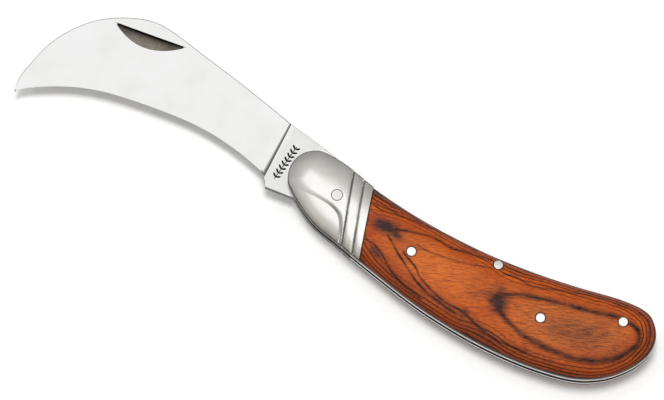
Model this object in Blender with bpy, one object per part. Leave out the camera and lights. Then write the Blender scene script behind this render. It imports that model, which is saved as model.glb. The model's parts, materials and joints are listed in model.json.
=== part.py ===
# Slip-joint pruning knife: a hooked blade that folds into a curved handle.
# It lies flat and open. +X runs from the blade's tip to the handle's butt, +Y from the belly
# to the back, +Z up through the thickness of the handle.
# Outlines are drawn in millimetres around the blade's pivot, in the handle's middle plane.

import math

import bmesh
import bpy
from mathutils import Matrix, Vector

MM = 0.001

# Where the blade's pivot stands in the object's frame, whose origin is the middle of the base.
PIVOT = Vector((-0.237, -2.053, 7.0)) * MM

# Layers of the handle, in mm: scale, liner, blade and spring, liner, scale.
HANDLE_THICKNESS = 14.0
LINER_THICKNESS = 1.0
BLADE_THICKNESS = 2.4
LAYER_GAP = 0.2
LINER_IN = BLADE_THICKNESS / 2 + LAYER_GAP
LINER_OUT = LINER_IN + LINER_THICKNESS
SCALE_IN = LINER_OUT + LAYER_GAP
SCALE_OUT = HANDLE_THICKNESS / 2

# The rounding of the handle's long edges is a quarter of an ellipse.
ROUNDING_WIDTH = 3.8
ROUNDING_HEIGHT = 3.2
ROUNDING_STEPS = 5

# Outline of the handle, mm. The bolster's nose is an arc, the rest one smooth line.
NOSE_CENTRE = (-7.6, 3.3)
NOSE_RADIUS = 7.4
NOSE_FROM, NOSE_TO, NOSE_STEPS = 75.0, 225.0, 5
BELLY = [(-5, -8.1), (4, -11.7), (16, -15.9), (30, -20.5), (44, -23.7), (56, -25.3), (67, -25.7), (77, -24.8)]
BUTT = [(84.6, -21.9), (90.4, -17.2), (94.0, -11.9), (94.7, -7.2), (93.1, -3.2), (89.6, -0.4)]
BACK = [(82, 0.35), (70, -0.45), (58, -0.8), (46, -0.45), (34, 0.75), (22, 2.75), (10, 5.7), (0, 9.2)]

# Bolster: the line where it meets the wood, and the two grooves across it (x at y = 0, and slant).
JOINT_X = 9.4
JOINT_SLANT = 0.165
JOINT_GAP = 0.2
GROOVES = [(3.55, 0.194), (6.8, 0.192)]
GROOVE_WIDTH = 0.55
GROOVE_DEPTH = 0.35

# Pins, mm: centre and radius. The pivot and the spring's two pins go right through.
PIN_CLEARANCE = 0.1
PIVOT_RADIUS = 1.5
PIN_RADIUS = 1.25
SPRING_MIDDLE_PIN = (47.7, -2.7)
SPRING_END_PIN = (84.7, -6.0)
SCALE_PINS = [(24.4, -7.7), (63.4, -12.8)]

# The spring bears on a flat of the tang. ALONG runs down that flat, ACROSS stands on it.
FLAT_ANGLE = math.radians(-19.3)
ALONG = Vector((math.cos(FLAT_ANGLE), math.sin(FLAT_ANGLE)))
ACROSS = Vector((-ALONG.y, ALONG.x))
FLAT_HEIGHT = 4.3
CAM_RADIUS = 5.2
SHOULDER = -5.5
CAM_STEPS = 9
FOLD_ANGLE = 171.0

# Back spring: its foot's length on the flat, its step, then its inner line to the butt, mm.
FOOT_END = 2.0
FOOT_STEP = (4.6, 5.5)
NECK = [(9.0, 6.1), (15.0, 6.6)]
SPRING_INNER = [(22.5, 0.15), (31.0, -1.8), (40.0, -3.9), (47.7, -5.0), (56.0, -4.8), (64.0, -4.2),
                (71.0, -4.5), (77.0, -6.9), (82.0, -10.1), (88.0, -11.0), (98.0, -10.9)]
SPRING_STEPS = 3

# Blade, mm. The spine and the edge both start at the tip.
SPINE = [(-94.1, -2.3), (-94.2, 2.2), (-92.7, 7.2), (-90.1, 13.5), (-86.1, 19.3), (-80.4, 24.5),
         (-73.8, 27.9), (-66.4, 29.75), (-60.0, 29.2), (-50.0, 26.1), (-36.5, 21.8), (-23.0, 17.1), (-14.0, 14.2)]
EDGE = [(-94.1, -2.3), (-92.9, -0.9), (-88.0, 1.7), (-80.0, 4.7), (-72.0, 6.4), (-64.0, 7.0), (-55.0, 7.1),
        (-46.0, 6.75), (-38.0, 5.6), (-30.0, 3.5), (-22.5, 0.7), (-18.4, -1.0)]
BLADE_STATIONS = 64
TIP_START = 0.004
EDGE_THICKNESS = 0.3
TIP_THICKNESS = 1.3
TAPER_SHARE = 0.45
WEDGE_RELIEF = 0.04
PLUNGE_TOP = (-20.0, 15.95)
TANG_BACK = [(-14.0, 14.2), (-8.2, 12.4), (-2.2, 10.3)]
HEEL = (-22.5, 0.7)
CHOIL = [(-21.4, -0.4), (-20.5, -1.9)]
KICK = (-19.8, -3.4)

# Nail nick: what a wide, slightly conical disc leaves when it dips into the front face.
NICK_X = -64.6
NICK_TOP = 26.1
NICK_LENGTH = 21.4
NICK_WIDTH = 4.1
NICK_DEPTH = 0.7
DISC_SIDES = 256

# Fineness of curves, and how far a cutter reaches past what it cuts, mm.
SIDE_POINTS = 6
PIN_SIDES = 32
CLEAR = 2.0
SMOOTH_ANGLE = math.radians(32)


def make_material(name, colour, roughness, metallic):
    material = bpy.data.materials.new(name)
    material.use_nodes = True
    shader = material.node_tree.nodes["Principled BSDF"]
    shader.inputs["Base Color"].default_value = (*colour, 1.0)
    shader.inputs["Roughness"].default_value = roughness
    shader.inputs["Metallic"].default_value = metallic
    material.diffuse_color = (*colour, 1.0)
    return material


def smooth_path(points, per_span=SIDE_POINTS, closed=False):
    """Points on a Catmull-Rom curve through the given ones."""
    knots = [Vector(p) for p in points]
    count = len(knots)
    spans = count if closed else count - 1
    path = []
    for i in range(spans):
        start, end = knots[i], knots[(i + 1) % count]
        before = knots[(i - 1) % count] if closed or i > 0 else start
        after = knots[(i + 2) % count] if closed or i + 2 < count else end
        for step in range(per_span):
            t = step / per_span
            path.append(0.5 * (2 * start + (end - before) * t
                               + (2 * before - 5 * start + 4 * end - after) * t ** 2
                               + (3 * start - before - 3 * end + after) * t ** 3))
    if not closed:
        path.append(knots[-1])
    return path


def along_path(path, fraction):
    """The point at a fraction of the path's length."""
    lengths = [(b - a).length for a, b in zip(path, path[1:])]
    left = fraction * sum(lengths)
    for start, end, length in zip(path, path[1:], lengths):
        if left <= length:
            return start.lerp(end, left / length)
        left -= length
    return path[-1]


def arc(centre, radius, start, end, steps):
    """Points on an arc, with its angles in degrees."""
    angles = [math.radians(start + (end - start) * i / steps) for i in range(steps + 1)]
    return [Vector((centre[0] + radius * math.cos(a), centre[1] + radius * math.sin(a))) for a in angles]


def on_flat(along, height):
    """A point measured along the tang's flat and up from the pivot."""
    return ALONG * along + ACROSS * height


def folded(point, angle=FOLD_ANGLE):
    """A point of the handle's plane in the frame of the folded blade."""
    return Vector(point) @ Matrix.Rotation(math.radians(angle), 2)


def handle_outline():
    nose = arc(NOSE_CENTRE, NOSE_RADIUS, NOSE_FROM, NOSE_TO, NOSE_STEPS)
    return smooth_path(nose + [Vector(p) for p in BELLY + BUTT + BACK], closed=True)


def extruded(name, outline, low, high):
    """A mesh object: a flat outline filled and extruded from z = low to z = high, in mm."""
    curve = bpy.data.curves.new(name + "_outline", "CURVE")
    curve.dimensions = "2D"
    curve.fill_mode = "BOTH"
    curve.extrude = (high - low) / 2 * MM
    spline = curve.splines.new("POLY")
    spline.points.add(len(outline) - 1)
    for point, place in zip(spline.points, outline):
        point.co = (place[0] * MM, place[1] * MM, 0.0, 1.0)
    spline.use_cyclic_u = True
    drawn = bpy.data.objects.new(name + "_outline", curve)
    drawn.location.z = (low + high) / 2 * MM
    bpy.context.scene.collection.objects.link(drawn)
    bpy.context.view_layer.update()
    graph = bpy.context.evaluated_depsgraph_get()
    mesh = bpy.data.meshes.new_from_object(drawn.evaluated_get(graph))
    mesh.transform(drawn.matrix_world)
    bpy.data.objects.remove(drawn)
    solid = bmesh.new()
    solid.from_mesh(mesh)
    bmesh.ops.remove_doubles(solid, verts=solid.verts, dist=0.00001)
    bmesh.ops.recalc_face_normals(solid, faces=solid.faces)
    solid.to_mesh(mesh)
    solid.free()
    return bpy.data.objects.new(name, mesh)


def cylinder(name, centre, radius, low, high, sides=PIN_SIDES):
    mesh = bpy.data.meshes.new(name)
    solid = bmesh.new()
    place = Matrix.Translation(Vector((centre[0], centre[1], (low + high) / 2)) * MM)
    bmesh.ops.create_cone(solid, cap_ends=True, segments=sides, radius1=radius * MM, radius2=radius * MM,
                          depth=(high - low) * MM, matrix=place)
    solid.to_mesh(mesh)
    solid.free()
    return bpy.data.objects.new(name, mesh)


def split_wide_faces(solid):
    """Triangles in place of the faces with many corners, so that every face is truly flat."""
    wide = [f for f in solid.faces if len(f.verts) > 4]
    bmesh.ops.triangulate(solid, faces=wide)


def handle_form():
    """The whole handle as one solid, with its long edges rounded on both faces."""
    straight = SCALE_OUT - ROUNDING_HEIGHT
    form = extruded("handle_form", handle_outline(), -straight, straight)
    solid = bmesh.new()
    solid.from_mesh(form.data)
    bmesh.ops.dissolve_limit(solid, angle_limit=math.radians(1), verts=[], edges=solid.edges)
    for side in (1, -1):
        cap = [f for f in solid.faces if f.normal.z * side > 0.9]
        for step in range(ROUNDING_STEPS):
            a = math.pi / 2 * step / ROUNDING_STEPS
            b = math.pi / 2 * (step + 1) / ROUNDING_STEPS
            inward = ROUNDING_WIDTH * (math.cos(a) - math.cos(b))
            upward = ROUNDING_HEIGHT * (math.sin(b) - math.sin(a))
            bmesh.ops.inset_region(solid, faces=cap, thickness=inward * MM, depth=0.0, use_even_offset=True)
            ring = {v for f in cap for v in f.verts}
            bmesh.ops.translate(solid, verts=list(ring), vec=(0, 0, upward * side * MM))
    split_wide_faces(solid)
    solid.to_mesh(form.data)
    solid.free()
    return form


def cut_flat(solid, place, normal):
    """Cut a solid by a plane, keep what lies behind the normal and close the cut."""
    geometry = solid.verts[:] + solid.edges[:] + solid.faces[:]
    cut = bmesh.ops.bisect_plane(solid, geom=geometry, dist=0.0000001, plane_co=Vector(place) * MM,
                                 plane_no=Vector(normal), clear_outer=True)
    edges = [e for e in cut["geom_cut"] if isinstance(e, bmesh.types.BMEdge)]
    bmesh.ops.contextual_create(solid, geom=edges)


def slice_of(form, name, planes):
    """A copy of the form, cut by each plane (place, normal)."""
    mesh = form.data.copy()
    solid = bmesh.new()
    solid.from_mesh(mesh)
    for place, normal in planes:
        cut_flat(solid, place, normal)
    bmesh.ops.recalc_face_normals(solid, faces=solid.faces)
    split_wide_faces(solid)
    solid.to_mesh(mesh)
    solid.free()
    return bpy.data.objects.new(name, mesh)


class Knife:
    """The collections, and the steps that each piece goes through."""

    def __init__(self):
        self.parts = bpy.data.collections.new("hook_knife")
        self.cutters = bpy.data.collections.new("hook_knife_cutters")
        for collection in (self.parts, self.cutters):
            bpy.context.scene.collection.children.link(collection)
        self.frame = bpy.data.objects.new("knife_frame", None)
        self.frame.location = PIVOT
        self.parts.objects.link(self.frame)

    def cutter(self, item):
        item.hide_render = True
        item.display_type = "WIRE"
        item.location = PIVOT
        self.cutters.objects.link(item)
        return item

    def axis(self, name, centre):
        """An empty on a joint's axis, which carries the piece that turns on it."""
        empty = bpy.data.objects.new(name, None)
        empty.parent = self.frame
        empty.location = Vector((centre[0], centre[1], 0.0)) * MM
        self.parts.objects.link(empty)
        return empty

    def part(self, item, material, on=None):
        item.data.materials.clear()
        item.data.materials.append(material)
        item.parent = on or self.frame
        if on:
            item.data.transform(Matrix.Translation(-on.location))
        self.parts.objects.link(item)
        item.data.shade_smooth()
        item.data.set_sharp_from_angle(angle=SMOOTH_ANGLE)
        return item

    def boolean(self, item, cutter, operation):
        """The exact solver loses some of these sub-millimetre cuts, so each uses the manifold one."""
        step = item.modifiers.new(operation.lower() + "_" + cutter.name, "BOOLEAN")
        step.operation = operation
        step.solver = "MANIFOLD"
        step.object = cutter


def drill(knife, item, holes):
    for centre, radius in holes:
        name = f"{item.name}_hole_{round(centre[0])}"
        hole = cylinder(name, centre, radius + PIN_CLEARANCE, -SCALE_OUT - CLEAR, SCALE_OUT + CLEAR)
        knife.boolean(item, knife.cutter(hole), "DIFFERENCE")


def joint_plane(side):
    """The plane between bolster and wood, half a gap to one side of it."""
    normal = Vector((1.0, JOINT_SLANT, 0.0)).normalized() * side
    place = Vector((JOINT_X, 0.0, 0.0)) - normal * JOINT_GAP / 2
    return place, normal


def groove_cutter(knife, form, number, x_at_zero, slant):
    """A wall across the bolster that only reaches a little way into its surface."""
    span = HANDLE_THICKNESS * 4
    height = HANDLE_THICKNESS + 2 * CLEAR
    mesh = bpy.data.meshes.new(f"groove_{number}")
    solid = bmesh.new()
    bmesh.ops.create_cube(solid, size=1.0)
    bmesh.ops.scale(solid, verts=solid.verts, vec=Vector((GROOVE_WIDTH, span, height)) * MM)
    bmesh.ops.rotate(solid, verts=solid.verts, matrix=Matrix.Rotation(math.atan(slant), 3, "Z"))
    bmesh.ops.translate(solid, verts=solid.verts, vec=(x_at_zero * MM, 0.0, 0.0))
    solid.to_mesh(mesh)
    solid.free()
    wall = knife.cutter(bpy.data.objects.new(f"groove_{number}", mesh))
    core = knife.cutter(bpy.data.objects.new(f"groove_core_{number}", form.data.copy()))
    shrink = core.modifiers.new("shrink", "DISPLACE")
    shrink.mid_level = 0.0
    shrink.strength = -GROOVE_DEPTH * MM
    knife.boolean(wall, core, "DIFFERENCE")
    return wall


def build_sides(knife, form, wood, steel):
    """Bolsters, scales and liners of both sides."""
    grooves = [groove_cutter(knife, form, i + 1, x, slant) for i, (x, slant) in enumerate(GROOVES)]
    through = [(SPRING_MIDDLE_PIN, PIN_RADIUS), (SPRING_END_PIN, PIN_RADIUS)]
    riveted = [(centre, PIN_RADIUS) for centre in SCALE_PINS]
    for label, side in (("front", 1), ("rear", -1)):
        inner = ((0, 0, SCALE_IN * side), (0, 0, -side))
        bolster = knife.part(slice_of(form, label + "_bolster", [inner, joint_plane(1)]), steel)
        drill(knife, bolster, [((0, 0), PIVOT_RADIUS)])
        for groove in grooves:
            knife.boolean(bolster, groove, "DIFFERENCE")
        scale = knife.part(slice_of(form, label + "_scale", [inner, joint_plane(-1)]), wood)
        drill(knife, scale, through + riveted)
        faces = [((0, 0, LINER_IN * side), (0, 0, -side)), ((0, 0, LINER_OUT * side), (0, 0, side))]
        liner = knife.part(slice_of(form, label + "_liner", faces), steel)
        drill(knife, liner, [((0, 0), PIVOT_RADIUS)] + through + riveted)


def build_spring(knife, form, steel):
    """The back spring: a foot on the tang, a thin neck, a boss at each pin."""
    foot_front = SHOULDER + LAYER_GAP
    foot_height = FLAT_HEIGHT + LAYER_GAP
    inner_line = smooth_path([on_flat(*p) for p in NECK] + SPRING_INNER, SPRING_STEPS)
    region = [on_flat(foot_front, foot_height), on_flat(FOOT_END, foot_height), on_flat(*FOOT_STEP)]
    region += inner_line
    past_back = BACK[-1][1] + 3 * CLEAR
    region += [Vector((SPRING_INNER[-1][0], past_back)), on_flat(foot_front, past_back)]
    cutter = knife.cutter(extruded("spring_region", region, -LINER_IN, LINER_IN))
    half = BLADE_THICKNESS / 2
    spring = slice_of(form, "back_spring", [((0, 0, half), (0, 0, 1)), ((0, 0, -half), (0, 0, -1))])
    axis = knife.axis("spring_axis", SPRING_MIDDLE_PIN)
    knife.part(spring, steel, on=axis)
    knife.boolean(spring, cutter, "INTERSECT")
    drill(knife, spring, [(SPRING_MIDDLE_PIN, PIN_RADIUS), (SPRING_END_PIN, PIN_RADIUS)])


def build_tang():
    """The flat plate of the blade: ricasso, tang and kick, as thick as the blade's stock."""
    spine_foot = smooth_path([PLUNGE_TOP] + TANG_BACK)
    corner = math.sqrt(CAM_RADIUS ** 2 - FLAT_HEIGHT ** 2)
    open_flat = [on_flat(SHOULDER, FLAT_HEIGHT), on_flat(corner, FLAT_HEIGHT)]
    closed_flat = [folded(on_flat(-corner, FLAT_HEIGHT)), folded(on_flat(FOOT_END, FLAT_HEIGHT))]
    start = math.degrees(math.atan2(open_flat[1].y, open_flat[1].x))
    end = math.degrees(math.atan2(closed_flat[0].y, closed_flat[0].x))
    rear = arc((0, 0), CAM_RADIUS, start, end, CAM_STEPS)
    outline = spine_foot + open_flat[:1] + rear + closed_flat[1:] + [Vector(KICK)]
    outline += [Vector(p) for p in reversed(CHOIL)] + [Vector(HEEL)]
    half = BLADE_THICKNESS / 2
    return extruded("blade", outline, -half, half)


def build_wedge():
    """The ground part of the blade: one wedge section after another from tip to heel."""
    spine, edge = smooth_path(SPINE), smooth_path(EDGE)
    mesh = bpy.data.meshes.new("blade_wedge")
    solid = bmesh.new()
    rings = []
    for i in range(BLADE_STATIONS + 1):
        share = TIP_START + (1 - TIP_START) * i / BLADE_STATIONS
        back, front = along_path(spine, share), along_path(edge, share)
        full = BLADE_THICKNESS - WEDGE_RELIEF
        thick = TIP_THICKNESS + (full - TIP_THICKNESS) * min(1.0, share / TAPER_SHARE)
        corners = [(back, thick / 2), (back, -thick / 2)]
        corners += [(front, -EDGE_THICKNESS / 2), (front, EDGE_THICKNESS / 2)]
        verts = [solid.verts.new(Vector((p.x, p.y, z)) * MM) for p, z in corners]
        rings.append([solid.edges.new((verts[k], verts[(k + 1) % 4])) for k in range(4)])
    for ring, following in zip(rings, rings[1:]):
        bmesh.ops.bridge_loops(solid, edges=ring + following)
    for ring in (rings[0], rings[-1]):
        bmesh.ops.contextual_create(solid, geom=ring)
    bmesh.ops.recalc_face_normals(solid, faces=solid.faces)
    solid.to_mesh(mesh)
    solid.free()
    return bpy.data.objects.new("blade_wedge", mesh)


def nick_cutter():
    face = BLADE_THICKNESS / 2
    radius = ((NICK_LENGTH / 2) ** 2 + NICK_DEPTH ** 2) / (2 * NICK_DEPTH)
    mesh = bpy.data.meshes.new("nick_disc")
    solid = bmesh.new()
    bmesh.ops.create_cone(solid, cap_ends=True, segments=DISC_SIDES, radius1=(radius - NICK_DEPTH) * MM,
                          radius2=radius * MM, depth=NICK_WIDTH * MM)
    bmesh.ops.rotate(solid, verts=solid.verts, matrix=Matrix.Rotation(math.radians(-90), 3, "X"))
    middle = Vector((NICK_X, NICK_TOP - NICK_WIDTH / 2, face + radius - NICK_DEPTH)) * MM
    bmesh.ops.translate(solid, verts=solid.verts, vec=middle)
    solid.to_mesh(mesh)
    solid.free()
    return bpy.data.objects.new("nick_disc", mesh)


def build_blade(knife, steel):
    blade = build_tang()
    axis = knife.axis("blade_axis", (0, 0))
    knife.part(blade, steel, on=axis)
    knife.boolean(blade, knife.cutter(build_wedge()), "UNION")
    knife.boolean(blade, knife.cutter(nick_cutter()), "DIFFERENCE")
    drill(knife, blade, [((0, 0), PIVOT_RADIUS)])


def build_pins(knife, form, steel):
    """Each pin is trimmed flush with the rounded surface of the handle."""
    hull = knife.cutter(bpy.data.objects.new("handle_hull", form.data.copy()))
    through = [("pivot_pin", (0, 0), PIVOT_RADIUS), ("spring_middle_pin", SPRING_MIDDLE_PIN, PIN_RADIUS),
               ("spring_end_pin", SPRING_END_PIN, PIN_RADIUS)]
    outside = SCALE_OUT + CLEAR
    ends = [(name, centre, radius, -outside, outside) for name, centre, radius in through]
    for number, centre in enumerate(SCALE_PINS, start=1):
        ends.append((f"front_scale_pin_{number}", centre, PIN_RADIUS, LINER_IN, outside))
        ends.append((f"rear_scale_pin_{number}", centre, PIN_RADIUS, -outside, -LINER_IN))
    for name, centre, radius, low, high in ends:
        pin = knife.part(cylinder(name, centre, radius, low, high), steel)
        knife.boolean(pin, hull, "INTERSECT")


def main():
    for item in list(bpy.data.objects):
        bpy.data.objects.remove(item, do_unlink=True)
    wood = make_material("laminated_wood", (0.42, 0.13, 0.035), 0.35, 0.0)
    satin = make_material("satin_steel", (0.62, 0.61, 0.60), 0.28, 1.0)
    polished = make_material("polished_steel", (0.78, 0.78, 0.77), 0.15, 1.0)
    pin_steel = make_material("pin_steel", (0.80, 0.80, 0.79), 0.20, 1.0)
    knife = Knife()
    form = handle_form()
    build_sides(knife, form, wood, satin)
    build_spring(knife, form, satin)
    build_blade(knife, polished)
    build_pins(knife, form, pin_steel)
    bpy.data.objects.remove(form)


main()
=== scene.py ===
import json
import math
import bpy
import bmesh
import numpy
from mathutils import Matrix, Vector, noise


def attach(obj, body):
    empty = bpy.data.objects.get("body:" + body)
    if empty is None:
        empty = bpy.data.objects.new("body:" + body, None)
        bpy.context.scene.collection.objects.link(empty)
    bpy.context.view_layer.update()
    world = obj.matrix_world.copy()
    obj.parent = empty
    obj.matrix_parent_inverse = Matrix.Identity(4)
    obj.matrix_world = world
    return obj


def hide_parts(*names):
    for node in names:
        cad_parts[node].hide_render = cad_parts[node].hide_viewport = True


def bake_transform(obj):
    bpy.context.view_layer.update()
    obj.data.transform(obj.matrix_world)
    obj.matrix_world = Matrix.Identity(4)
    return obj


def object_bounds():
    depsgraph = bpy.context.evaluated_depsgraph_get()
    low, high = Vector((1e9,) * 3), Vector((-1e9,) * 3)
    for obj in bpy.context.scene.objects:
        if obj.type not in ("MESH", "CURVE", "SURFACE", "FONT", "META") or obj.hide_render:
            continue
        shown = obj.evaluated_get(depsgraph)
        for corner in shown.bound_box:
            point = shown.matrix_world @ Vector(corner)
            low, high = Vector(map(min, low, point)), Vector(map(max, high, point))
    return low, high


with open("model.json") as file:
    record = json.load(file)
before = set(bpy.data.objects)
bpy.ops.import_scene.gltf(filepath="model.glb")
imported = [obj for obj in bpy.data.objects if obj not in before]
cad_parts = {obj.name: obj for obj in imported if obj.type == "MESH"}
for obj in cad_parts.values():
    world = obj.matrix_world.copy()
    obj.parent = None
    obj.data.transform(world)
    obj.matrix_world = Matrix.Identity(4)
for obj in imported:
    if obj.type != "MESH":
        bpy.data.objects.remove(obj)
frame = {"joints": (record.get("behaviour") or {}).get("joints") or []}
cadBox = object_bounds()
print("frame loaded")

# Shapes are drawn in mm around the blade's pivot, with z = 0 in the handle's middle plane.
mm = 0.001
joints = {joint["name"]: joint for joint in frame["joints"]}
pivot = Vector(joints["blade_pivot"]["pos_m"])
toWorld = Matrix.Translation(pivot) @ Matrix.Scale(mm, 4)
sameHeight = 0.001  # places closer than this, in mm, lie at one height
hair = 0.01  # a margin in mm for comparing places
levelFrom = 0.9  # a face is level when the z of its normal reaches this


def smoothPath(points, perSpan, closed=False):
    # a Catmull-Rom line through the points
    knots = [Vector(p) for p in points]
    count = len(knots)
    path = []
    for i in range(count if closed else count - 1):
        start, end = knots[i], knots[(i + 1) % count]
        before = knots[(i - 1) % count] if closed or i > 0 else start
        after = knots[(i + 2) % count] if closed or i + 2 < count else end
        for step in range(perSpan):
            t = step / perSpan
            path.append(0.5 * (2 * start + (end - before) * t
                               + (2 * before - 5 * start + 4 * end - after) * t ** 2
                               + (3 * start - before - 3 * end + after) * t ** 3))
    if not closed:
        path.append(knots[-1])
    return path


def arcPath(centre, radius, start, end, steps):
    # angles in degrees
    angles = [math.radians(start + (end - start) * i / steps) for i in range(steps + 1)]
    return [Vector((centre[0] + radius * math.cos(a), centre[1] + radius * math.sin(a))) for a in angles]


def pointAlong(path, share):
    # the point at a share of the path's length
    lengths = [(b - a).length for a, b in zip(path, path[1:])]
    left = share * sum(lengths)
    for start, end, length in zip(path, path[1:], lengths):
        if left <= length:
            return start.lerp(end, left / length)
        left -= length
    return path[-1]


def pathDistances(places, path, signed=False):
    # how far each place lies from a path, in the plane of the handle; signed: left of it is positive
    knots = numpy.array([tuple(p)[:2] for p in path], float)
    nearest = numpy.full(len(places), 1e9)
    sides = numpy.ones(len(places))
    for start, end in zip(knots, knots[1:]):
        line = end - start
        share = numpy.clip((places - start) @ line / max(line @ line, 1e-9), 0, 1)
        off = places - start - share[:, None] * line
        gap = numpy.linalg.norm(off, axis=1)
        if signed:
            sides = numpy.where(gap < nearest, numpy.sign(line[0] * off[:, 1] - line[1] * off[:, 0]), sides)
        nearest = numpy.minimum(nearest, gap)
    return nearest * sides


def placesOf(verts):
    # where corners lie in the plane of the handle
    return numpy.array([v.co[:2] for v in verts], float)


def plateFrom(bm, path, low, high):
    # a flat outline with straight walls
    bottom = bm.faces.new([bm.verts.new((p[0], p[1], low)) for p in path])
    made = bmesh.ops.extrude_face_region(bm, geom=[bottom])
    top = [v for v in made["geom"] if isinstance(v, bmesh.types.BMVert)]
    bmesh.ops.translate(bm, verts=top, vec=(0, 0, high - low))
    bmesh.ops.recalc_face_normals(bm, faces=bm.faces)


def splitAlong(bm, place, normal):
    # an edge line across the mesh, without cutting it off
    everything = bm.verts[:] + bm.edges[:] + bm.faces[:]
    bmesh.ops.bisect_plane(bm, geom=everything, dist=0.0001, plane_co=place, plane_no=normal)


def cutAway(bm, place, normal):
    # removes what lies on the normal's side of a plane and closes the cut
    everything = bm.verts[:] + bm.edges[:] + bm.faces[:]
    cut = bmesh.ops.bisect_plane(bm, geom=everything, dist=0.0001, plane_co=place, plane_no=normal,
                                 clear_outer=True)
    rim = [e for e in cut["geom_cut"] if isinstance(e, bmesh.types.BMEdge)]
    bmesh.ops.contextual_create(bm, geom=rim)


def splitWideFaces(bm):
    # faces with many corners become triangles, which shade evenly
    wide = [f for f in bm.faces if len(f.verts) > 4]
    bmesh.ops.triangulate(bm, faces=wide)


def meshObject(bm, name):
    mesh = bpy.data.meshes.new(name)
    bm.to_mesh(mesh)
    bm.free()
    made = bpy.data.objects.new(name, mesh)
    bpy.context.scene.collection.objects.link(made)
    return made


def cutWith(target, cutters, operation="DIFFERENCE"):
    # the manifold solver keeps these sub-millimetre cuts
    for cutter in cutters:
        step = target.modifiers.new("cut", "BOOLEAN")
        step.operation = operation
        step.solver = "MANIFOLD"
        step.object = cutter
    graph = bpy.context.evaluated_depsgraph_get()
    mesh = bpy.data.meshes.new_from_object(target.evaluated_get(graph))
    target.modifiers.clear()
    target.data = mesh
    for cutter in cutters:
        bpy.data.objects.remove(cutter)


def roundEdges(bm, edges, size):
    bmesh.ops.bevel(bm, geom=edges, offset=size, segments=2, profile=0.5, affect="EDGES", material=-1)


def heightBetween(edge):
    # how much higher one end of an edge lies than the other
    return abs(edge.verts[0].co.z - edge.verts[1].co.z)


def rodMesh(centre, radius, low, high, sides=64):
    bm = bmesh.new()
    place = Matrix.Translation((centre[0], centre[1], (low + high) / 2))
    bmesh.ops.create_cone(bm, cap_ends=True, segments=sides, radius1=radius, radius2=radius,
                          depth=high - low, matrix=place)
    return bm


def drill(centre, radius, sides=48):
    # a rod that is longer than the handle is thick, to cut a hole with
    return meshObject(rodMesh(centre, radius, -handle["drillReach"], handle["drillReach"], sides), "hole")


def finishPiece(piece, materials, nodes, body=None, sharpAngle=30.0, indices=None):
    # puts a piece in the frame, inside the CAD box, with its materials (indices: one for each face)
    piece.data.transform(toWorld)
    corners = numpy.empty(len(piece.data.vertices) * 3, numpy.float32)
    piece.data.vertices.foreach_get("co", corners)
    inside = numpy.clip(corners.reshape(-1, 3), cadBox[0], cadBox[1])
    piece.data.vertices.foreach_set("co", inside.ravel())
    piece.data.materials.clear()
    for material in materials:
        piece.data.materials.append(material)
    if indices:
        piece.data.polygons.foreach_set("material_index", indices)
    piece.data.shade_smooth()
    piece.data.set_sharp_from_angle(angle=math.radians(sharpAngle))
    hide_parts(*nodes)
    if body:
        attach(piece, body)


def linear(code):
    # an sRGB hex colour as linear RGBA
    parts = [int(code[i:i + 2], 16) / 255 for i in (1, 3, 5)]
    return tuple(c / 12.92 if c <= 0.04045 else ((c + 0.055) / 1.055) ** 2.4 for c in parts) + (1.0,)


def addNode(tree, kind, values=None, stops=None, **settings):
    # a node with its settings, its sockets set or linked (to a node's first output), and a ramp's stops
    node = tree.nodes.new("ShaderNode" + kind)
    for key, value in settings.items():
        setattr(node, key, value)
    for key, value in (values or {}).items():
        value = value.outputs[0] if isinstance(value, bpy.types.Node) else value
        if isinstance(value, bpy.types.NodeSocket):
            tree.links.new(value, node.inputs[key])
        else:
            node.inputs[key].default_value = value
    for i, (place, code) in enumerate(stops or []):
        elements = node.color_ramp.elements
        element = elements[i] if i < 2 else elements.new(place)
        element.position = place
        element.color = linear(code)
    return node


def newMaterial(name):
    material = bpy.data.materials.new(name)
    material.use_nodes = True
    tree = material.node_tree
    return material, tree, tree.nodes["Principled BSDF"]


def handlePlace(tree, turn=0.0):
    # object coordinates in mm from the pivot, turned about z
    coords = addNode(tree, "TexCoord").outputs["Object"]
    moved = addNode(tree, "VectorMath", {0: coords, 1: tuple(pivot)}, operation="SUBTRACT")
    return addNode(tree, "Mapping", {"Vector": moved, "Scale": (1 / mm, 1 / mm, 1 / mm),
                                     "Rotation": (0, 0, turn)})


def paintOver(material, amount, code):
    # lays a colour over a material's own, as strongly as amount says
    tree = material.node_tree
    base = tree.nodes["Principled BSDF"].inputs["Base Color"]
    ground = base.links[0].from_socket
    tone = addNode(tree, "Mix", {0: amount, 6: ground, 7: linear(code)}, data_type="RGBA")
    tree.links.new(tone.outputs[2], base)


# the outline runs round the nose, belly, butt and back; heights count from the middle plane
handle = {
    "noseCentre": (-7.6, 3.3), "noseRadius": 7.4, "noseAngles": (75.0, 225.0), "noseSteps": 5,
    "belly": [(-5, -8.1), (4, -11.7), (16, -15.9), (30, -20.5), (44, -23.7), (56, -25.3), (67, -25.7),
              (77, -24.8)],
    "butt": [(84.6, -21.9), (90.4, -17.2), (94.0, -11.9), (94.7, -7.2), (93.1, -3.2), (89.6, -0.4)],
    "back": [(82, 0.35), (70, -0.45), (58, -0.8), (46, -0.45), (34, 0.75), (22, 2.75), (10, 5.7), (0, 9.2)],
    "finenessOfOutline": 7,
    "linerInside": 1.4, "linerOutside": 2.4, "layerGap": 0.01,
    "top": 6.93, "most": 6.995,  # of the crown, and of the pins' heads
    "jointAt": 9.4, "jointSlant": 0.165,  # between bolster and wood
    "pivotRadius": 1.5, "pinRadius": 1.25, "pinClearance": 0.07, "pivotRing": 0.14, "drillReach": 12,
    "springMiddlePin": (47.7, -2.7), "springEndPin": (84.7, -6.0),
    "scalePins": [(24.4, -7.7), (63.4, -12.8)],
}
springPins = [handle["springMiddlePin"], handle["springEndPin"]]
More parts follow.
